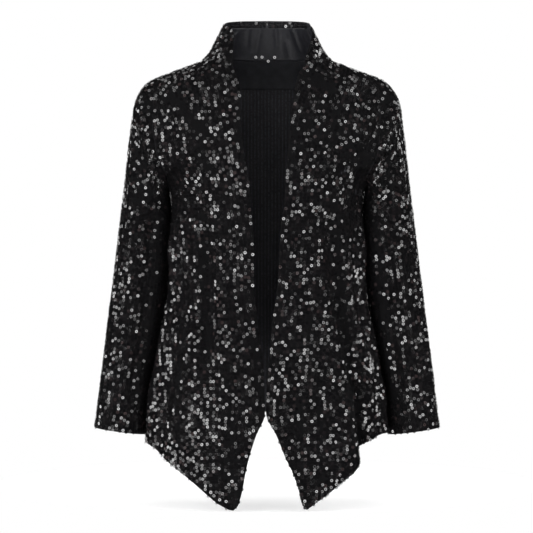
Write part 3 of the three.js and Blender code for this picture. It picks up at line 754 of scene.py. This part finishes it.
def foldShadeShare(lines, point):
    # share of painted fold shade: the largest over the lines of share x exp(-(distance to the line / half
    # width)^2)
    least = np.zeros(len(point))
    flat = point[:, [0, 2]]
    for x0, z0, x1, z1, half, share in lines:
        start, step = np.array([x0, z0]), np.array([x1 - x0, z1 - z0])
        along = np.clip((flat - start) @ step / (step @ step), 0, 1)
        apart = np.linalg.norm(flat - start - along[:, None] * step, axis=1) / half
        least = np.maximum(least, share * np.exp(-apart * apart))
    return least


def strewSequins(name, surface, paths, look, inward=False, lines=()):
    # Along each column, one every step of its length, odd columns half a step lower. Each is a
    # flat ring, leaning by its lap, its column's waver and a lean of its own.
    drawn = []
    for k, u, rows, path in paths:
        length = pathLength(surface(path, rows)[0])
        v = np.arange(look["first"] + 0.5 * (k % 2), length[-1] / look["step"] + look["spare"]) * look["step"]
        if len(v) == 0:
            continue
        knots = rng.normal(0, 1, (2, int(length[-1] / look["run"]) + 4))
        place = v / look["run"] + rng.uniform(0, 1)
        waver = np.stack([np.interp(place, np.arange(len(line)), line) for line in knots], axis=1)
        column = np.stack([0 * v + u, v], axis=1)
        drawn.append((np.interp(v, length, path), np.interp(v, length, rows), waver, column))
    s, t, waver, column = (np.concatenate(part) for part in zip(*drawn))
    keep = rng.random(len(s)) >= look["missing"]
    s, t, waver, column = s[keep], t[keep], waver[keep], column[keep]
    point, normal = surface(s, t)
    # sequins on the fold shade lines are drawn dull and dark: painted fold shade
    paintedShade = rng.random(len(s)) < foldShadeShare(lines, point)
    step = look["downStep"]
    above = np.minimum(t, max(rows[-1] for _, _, rows, _ in paths) - step)
    down = surface(s, above + step)[0] - surface(s, above)[0]
    down = unit(down - normal * dot(down, normal))
    point = point - normal * (cloth["under"] + (cloth["thick"] if inward else 0.0))
    normal = -normal if inward else normal
    side = np.cross(down, normal)
    count = len(s)
    clouds = [smoothNoise(column, look["cloudSize"]) * look["cloud"] for _ in (0, 1)]
    lean = look["lap"] + clouds[0] + look["waver"] * waver[:, 0] + look["loose"] * rng.normal(0, 1, count)
    roll = clouds[1] + look["waver"] * waver[:, 1] + look["loose"] * rng.normal(0, 1, count)
    shift = look["zigzag"] * (1 - 2 * (np.arange(count) % 2)) * 0.5 + rng.normal(0, look["offLine"], count)
    centre = point + normal * look["lift"] + side * shift[:, None]
    # a tint of -1 marks a sequin of the painted fold shade
    tint = np.where(paintedShade, -1.0, rng.beta(*look["tint"], count))
    return rings(name, centre, normal, down, (lean, roll), tint, look)


def rings(name, centre, normal, down, tilt, tint, look):
    # flat rings with a hole, all as one mesh: each turned from the cloth's normal by its two tilts
    count, side = len(centre), np.cross(down, normal)
    lean, roll = (np.radians(np.clip(part, *look["leanLimits"])) for part in tilt)
    axisN = unit(normal + side * np.tan(roll)[:, None] + down * np.tan(lean)[:, None])
    axisD = unit(down - axisN * dot(down, axisN))
    axisS = np.cross(axisD, axisN)
    n = look["sides"]
    angle = np.tile(np.linspace(0, 2 * np.pi, n, endpoint=False) + np.pi / n, 2)
    radius = np.repeat([look["radius"], look["hole"]], n)
    local = np.stack([radius * np.cos(angle), radius * np.sin(angle)], axis=1)
    size = rng.normal(1, look["spread"], count)[:, None, None]
    verts = centre[:, None] + size * (local[:, 0, None] * axisS[:, None] + local[:, 1, None] * axisD[:, None])
    k = np.arange(n)
    ringFaces = np.stack([k, (k + 1) % n, n + (k + 1) % n, n + k], axis=1)
    faces = (ringFaces[None] + 2 * n * np.arange(count)[:, None, None]).reshape(-1, 4)
    a, b, c = verts.reshape(-1, 3)[faces[0, :3]]
    if np.dot(np.cross(b - a, c - a), axisN[0]) < 0:
        faces = faces[:, ::-1]
    made = quadMesh(name, verts.reshape(-1, 3), faces, [finish["sequin"]], "sequin_cloth",
                    tint=np.repeat(tint, 2 * n))
    print(name, count, "sequins")
    return made


def stitchRows(name, surface, paths, look):
    # Ribs on the wrong side, one behind each column of sequins: three points across, the middle
    # one raised by the rib's height x (least + more x noise)
    points, faces, total = [], [], 0
    for k, u, rows, path in paths:
        length = pathLength(surface(path, rows)[0])
        v = np.linspace(0, length[-1], max(2, int(length[-1] / look["every"])))
        s, t = np.interp(v, length, path), np.interp(v, length, rows)
        point, normal = surface(s, t)
        across = unit(np.cross(np.gradient(point, axis=0), normal))
        base = point - normal * (cloth["under"] + cloth["thick"])
        raised = look["height"] * (ribLook["least"] + ribLook["more"] * rng.random(len(v)))
        sway = rng.normal(0, ribLook["sway"], len(v))
        sunk = normal * ribLook["sunk"]
        strip = np.stack([base + across * (sway - look["half"])[:, None] + sunk,
                          base + across * sway[:, None] - normal * raised[:, None],
                          base + across * (sway + look["half"])[:, None] + sunk], axis=1)
        i = np.arange(len(v) - 1)
        for j in (0, 1):
            a = total + 3 * i + j
            faces.append(np.stack([a, a + 1, a + 4, a + 3], axis=1))
        points.append(strip.reshape(-1, 3))
        total += 3 * len(v)
    points, faces = np.concatenate(points), np.concatenate(faces)
    made = quadMesh(name, points, faces, [finish["rib"]], "sequin_cloth")
    print(name, len(faces), "faces")
    return made


print("cloth surfaces ready")

# The seam's gap as a share of the panels, whose rough sizes these are
panelSize = {"frontWide": 170, "collarHigh": 55, "collarLong": 120, "long": 600, "backWide": 340}
seamShare = {key: cloth["seam"] / size for key, size in panelSize.items()}

# Fronts, each with its half of the collar
frontLook = {
    "collarRows": 26, "rows": 150, "columns": 46, "guideRows": 420,
    "flat": {"left": (0.33, 0.80), "right": (0.33, 0.80)},
    "edgeRoom": (0.9, 1.2),  # from the columns to the edge and to the side
    # the columns of the chest lean away from the edge by this, over this distance down
    "slant": {"left": 0.2, "right": 0.06}, "slantReach": 190,
}


def frontShares(side):
    # where the rows of a front start and end, and where its columns start
    def high(t):
        return np.where(t < 0, collarShare, 1.0)

    def start(t, points):
        # the edge leaves the columns where it swings out to the hem's point
        x = np.abs(points[:, 0, 0])
        body = t > 0.5
        nearest = np.argmin(np.where(body, x, 1e9))
        drop = points[np.argmin(np.abs(t)), 0, 2] - points[:, 0, 2]
        slant = frontLook["slant"][side] * np.clip(drop, 0, frontLook["slantReach"])
        return np.where(t > t[nearest], x - x[nearest], 0.0) + slant

    return np.zeros_like, high, start


for side, sign in (("left", 1), ("right", -1)):
    look = frontLook
    surface = onBody(frontPlaces(side), sign)
    collarColumns = int(round(look["columns"] * collarShare))
    s = np.concatenate([np.linspace(0, collarShare, collarColumns + 1),
                        np.linspace(collarShare, 1, look["columns"] - collarColumns + 1)[1:]])
    t = np.concatenate([np.linspace(-1, 0, look["collarRows"] + 1), np.linspace(0, 1, look["rows"] + 1)[1:]])
    hasCell = np.ones((len(t) - 1, len(s) - 1), bool)
    hasCell[:look["collarRows"], collarColumns:] = False
    sGrid = np.broadcast_to(s, (len(t), len(s))).copy()
    tGrid = np.broadcast_to(t[:, None], sGrid.shape).copy()
    sGrid = np.minimum(sGrid, 1 - seamShare["frontWide"])
    neckSide = collarShare * (1 - seamShare["collarHigh"])
    sGrid[:look["collarRows"]] = np.minimum(sGrid[:look["collarRows"]], neckSide)
    tGrid = np.clip(tGrid, seamShare["collarLong"] - 1, 1)
    overShoulder = (tGrid == 0) & (sGrid > collarShare)
    tGrid[overShoulder] = seamShare["long"]
    sGrid[look["collarRows"], collarColumns] = neckSide
    piece, area = sheetPiece(f"{side}_front_cloth", *surface(sGrid, tGrid), **knitSheet, hasCell=hasCell)
    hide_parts(f"{side}_front")
    low, high, start = frontShares(side)
    rows = np.linspace(-1, 1, look["guideRows"])
    paths = list(columnPaths(surface, low, high, 0, rows, sequinLook["pitch"], look["edgeRoom"], start))
    beads = strewSequins(f"{side}_front_sequins", surface, paths, sequinLook, lines=foldShadeLines[f"{side}_front"])
    ribs = stitchRows(f"{side}_front_ribs", surface, paths, ribLook["front"])
    # the columns beside the collar's edge roll over to its inside
    band = [(k, u, t[t < rolledLook["upTo"]], s[t < rolledLook["upTo"]])
            for k, u, t, s in paths if u < rolledLook["wide"]]
    rolled = strewSequins(f"{side}_collar_edge_sequins", surface, band, sequinLook, inward=True)
    print(side, "front", round(area, 4), "m2")

# Back
backLook = {"rows": 128, "columns": 104, "guideRows": 380, "flat": (0.47, 0.58), "edgeRoom": (1.4, 1.4)}
surface = onBody(backPlaces())
s = np.linspace(seamShare["backWide"], 1 - seamShare["backWide"], backLook["columns"] + 1)
t = np.linspace(seamShare["long"], 1, backLook["rows"] + 1)
backPiece, area = sheetPiece("back_cloth", *surface(*np.meshgrid(s, t)), **knitSheet)
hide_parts("back")
rows = np.linspace(0, 1, backLook["guideRows"])
paths = list(columnPaths(surface, np.zeros_like, np.ones_like, 0.5, rows, sequinLook["pitch"],
                         backLook["edgeRoom"]))
beads = strewSequins("back_sequins", surface, paths, sequinLook, lines=foldShadeLines["back"])
ribs = stitchRows("back_ribs", surface, paths, ribLook["back"])
print("back", round(area, 4), "m2")

# Sleeves, with a seam allowance inside each armhole
sleeveLook = {
    "rows": 124, "columns": 66, "guideRows": 300, "flat": (0.33, 0.58), "edgeRoom": (0.8, 0.8),
    "crowd": 1.1,        # above 1, the rows lie closer at the top
    "allowance": 5.0,    # width of the seam allowance on each side of the seam
    "allowanceThick": 0.5, "allowanceUnder": 0.3, "allowanceColumns": 144,
}


def armholeSeam(side, surface):
    # The seam allowance inside the armhole: four closed rows, at its width into the body, at the
    # body's edge, at the sleeve's top and at its width down the sleeve
    sign = 1 if side == "left" else -1
    turn = np.linspace(0, 360, sleeveLook["allowanceColumns"], endpoint=False)
    edge, edgeNormal = bodyFrame(*armholePlace(turn, sign))
    top, topNormal = surface(turn, 0.0)
    low, lowNormal = surface(turn, sleeveLook["allowance"])
    along = np.roll(edge, -1, axis=0) - np.roll(edge, 1, axis=0)
    away = unit(np.cross(edgeNormal, along))
    away = away * np.sign(dot(away, edge - edge.mean(axis=0)))
    points = np.stack([edge + away * sleeveLook["allowance"], edge, top, low])
    normals = np.stack([edgeNormal, edgeNormal, topNormal, lowNormal])
    outer = points - normals * (cloth["under"] + cloth["thick"] + sleeveLook["allowanceUnder"])
    inner = outer - normals * sleeveLook["allowanceThick"]
    return shell(f"{side}_armhole_seam", outer, inner, np.ones((3, len(turn)), bool), True,
                 [finish["wrong"]] * 2, "sequin_cloth")


for side in ("left", "right"):
    surface = onSleeve(side)
    share = np.linspace(0, 1, sleeveLook["rows"] + 1)
    far = sleeveLength * share ** sleeveLook["crowd"]
    turn = np.linspace(-180, 180, sleeveLook["columns"], endpoint=False)
    grid = surface(*np.meshgrid(turn, far))
    piece, area = sheetPiece(f"{side}_sleeve_cloth", *grid, **knitSheet, closed=True)
    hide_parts(f"{side}_sleeve")
    look = dict(sequinLook, downStep=1.0)
    rows = np.linspace(0, sleeveLength, sleeveLook["guideRows"])
    paths = list(columnPaths(surface, lambda t: np.full_like(t, -180.0), lambda t: np.full_like(t, 180.0),
                             0.5, rows, look["pitch"], sleeveLook["edgeRoom"]))
    beads = strewSequins(f"{side}_sleeve_sequins", surface, paths, look, lines=foldShadeLines[f"{side}_sleeve"])
    armholeSeam(side, surface)
    print(side, "sleeve", round(area, 4), "m2")

# Facings inside the back of the neck
collarFacingLook = {
    "rows": 26, "columns": 110, "fromTurn": 101.25, "down": (0.1667, 1.02), "flat": (0.235, 0.046),
    # deeper at its lower edge: from which share down, over which share, by how much
    "tucked": (0.9, 0.12, 1.1),
    # sequins that hang over the seam under it: x, z, and the way each faces; how deep they lie
    "beads": [(-18, 14.2, 0.0032, -0.9588, -0.2841), (-8, 14.2, 0.0018, -0.9588, -0.2841),
              (2, 8.4, 0.0004, -0.959, -0.2832), (12.3, 14, -0.0285, -0.9381, -0.3452)],
    "beadUnder": 5.2, "beadTint": 0.5,
    "creaseRadius": 62.0,
    # turn and share down at the start, the same at the end, half width, depths
    "creases": [(168, -0.2, 169, 0.75, 3.0, 2.6, 1.2), (145, -0.2, 143, 0.8, 3.0, 2.6, 1.2),
                (188, -0.2, 192, 0.9, 3.4, 1.8, 1.0), (206, -0.2, 202, 0.7, 3.4, 2.0, 1.0),
                (156, 0.3, 158, 1.1, 4.4, 1.4, 1.0), (220, 0.0, 226, 0.9, 4.0, 1.8, 1.0),
                (131, 0.0, 128, 1.0, 4.4, 1.4, 1.0), (236, 0.1, 240, 0.9, 4.6, 1.4, 1.0),
                (112, 0.0, 110, 0.9, 4.6, 1.1, 1.0), (249, 0.0, 251, 0.9, 4.6, 1.1, 1.0)],
}
look = collarFacingLook
turn, share = np.meshgrid(np.linspace(look["fromTurn"], 360 - look["fromTurn"], look["columns"] + 1),
                          np.linspace(*look["down"], look["rows"] + 1))
half = np.minimum(turn, 360 - turn)
run = blend(runAt(collarTop(half)), runAt(collarBase(half)), share)
first, last = look["down"]
wrinkle = foldDepth(look["creases"], turn, (share - first) / (last - first), look["creaseRadius"] + 0 * turn)
tuckAt, tuckOver, tuckBy = look["tucked"]
under = (cloth["facingUnder"] + wrinkle + tuckBy * ramp(share - tuckAt, tuckOver))[..., None]
piece, area = sheetPiece("collar_facing_satin", *bodyFrame(turn, run), under, cloth["facingThick"],
                         ("satin", "satin"), "satin")
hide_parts("collar_facing")
bead = np.array(look["beads"])
beadRun = runAt(bead[:, 1])
beadTurn = 180 - np.degrees(np.arcsin(bead[:, 0] / sectionHalf(beadRun)))
beadPoint, beadNormal = bodyFrame(beadTurn, beadRun)
beadFacing = unit(bead[:, 2:])
beadDown = unit(np.array([0.0, 0.0, -1.0]) + beadFacing * beadFacing[:, [2]])
beads = rings("neck_seam_sequins", beadPoint - beadNormal * look["beadUnder"], beadFacing, beadDown,
              np.zeros((2, len(bead))), np.full(len(bead), look["beadTint"]), sequinLook)
print("collar facing", round(area, 4), "m2")

neckFacingLook = {
    "rows": 22, "columns": 120, "flat": (0.30, 0.075),
    # share across at which it starts, and shares down at its top and bottom
    "side": 8 / 9 * backShoulderShare, "down": (0.001, 3.3 / 11 * underarmShare),
}
look = neckFacingLook
s, t = np.meshgrid(np.linspace(look["side"], 1 - look["side"], look["columns"] + 1),
                   np.linspace(*look["down"], look["rows"] + 1))
piece, area = sheetPiece("back_neck_facing_knit", *bodyFrame(*backPlaces()(s, t)), cloth["facingUnder"],
                         cloth["facingThick"], ("plain", "plain"), "plain_knit")
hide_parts("back_neck_facing")
print("neck facing", round(area, 4), "m2")

# Floor, light and camera
studio = {
    "floorZ": -0.6875, "floorRadius": 0.46, "floorBack": 0.36, "floorGlow": 0.56, "room": 0.004,
    # small lamps all round: how many across, size, edge, least and most glow
    "lampScale": 6.4, "lampSize": 0.325, "lampEdge": 0.05, "lampGlow": (3.0, 14.0),
    # glow over height (-1 below, 1 above) and from the front to behind
    "lampHeights": [(0.0, 0.0), (0.13, 0.0), (0.2, 1.0), (0.66, 1.0), (0.85, 0.6), (1.0, 0.3)],
    "behind": (0.2, 0.6), "lampBehind": 0.25,
    "camera": (-0.0008, -3.6, -0.318), "lens": 156.9,
}


def floorFinish():
    made, tree, shader = newFinish("floor", 0.9, 0.0, (0.9, 0.9, 0.9))
    shader.inputs["Emission Color"].default_value = (1, 1, 1, 1)
    shader.inputs["Emission Strength"].default_value = studio["floorGlow"]
    return made


corners = np.linspace(0, 2 * np.pi, 96, endpoint=False)
disc = np.stack([np.cos(corners), np.sin(corners), 0 * corners], axis=1) * studio["floorRadius"]
floorMesh = bpy.data.meshes.new("floor")
floorMesh.from_pydata(disc.tolist(), [], [list(range(len(disc)))])
floorMesh.materials.append(floorFinish())
floor = bpy.data.objects.new("floor", floorMesh)
floor.location = (0, studio["floorBack"], studio["floorZ"])
scene.collection.objects.link(floor)
floor.visible_glossy = False

# the picture's ground is white, and the cloth mirrors a dark room with small lamps all round
world = bpy.data.worlds.new("studio")
world.use_nodes = True
tree = world.node_tree
tree.nodes.clear()
place = addNode(tree, "TexCoord")
lamps = addNode(tree, "TexVoronoi", {"Scale": studio["lampScale"]}, {"Vector": place.outputs["Generated"]})
size = studio["lampSize"]
spot = mapTo(tree, lamps.outputs["Distance"], size + studio["lampEdge"], size)
chance = addNode(tree, "SeparateColor", links={"Color": lamps.outputs["Color"]})
glow = mapTo(tree, chance.outputs[0], 0.0, 1.0, *studio["lampGlow"])
way = addNode(tree, "SeparateXYZ", links={"Vector": place.outputs["Generated"]})
heightGlow = colorSteps(tree, mapTo(tree, way.outputs["Z"], -1.0, 1.0), studio["lampHeights"])
behind = mapTo(tree, way.outputs["Y"], *studio["behind"], 1.0, studio["lampBehind"])
strength = times(tree, times(tree, times(tree, spot, glow), heightGlow), behind)
total = addNode(tree, "Math", {"operation": "ADD"}, {0: strength})
total.inputs[1].default_value = studio["room"]
seen = addNode(tree, "LightPath")
room = addNode(tree, "Background", {"Color": (1, 1, 1, 1)}, {"Strength": total.outputs["Value"]})
white = addNode(tree, "Background", {"Color": (1, 1, 1, 1), "Strength": 1.0})
mix = addNode(tree, "MixShader", links={
    0: seen.outputs["Is Camera Ray"], 1: room.outputs[0], 2: white.outputs[0]})
addNode(tree, "OutputWorld", links={"Surface": mix.outputs[0]})
scene.world = world
scene.view_settings.view_transform = "Standard"

camera = bpy.data.objects.new("camera", bpy.data.cameras.new("camera"))
camera.location = studio["camera"]
camera.rotation_euler = (np.pi / 2, 0, 0)
camera.data.lens = studio["lens"]
scene.collection.objects.link(camera)
scene.camera = camera
print("studio ready")
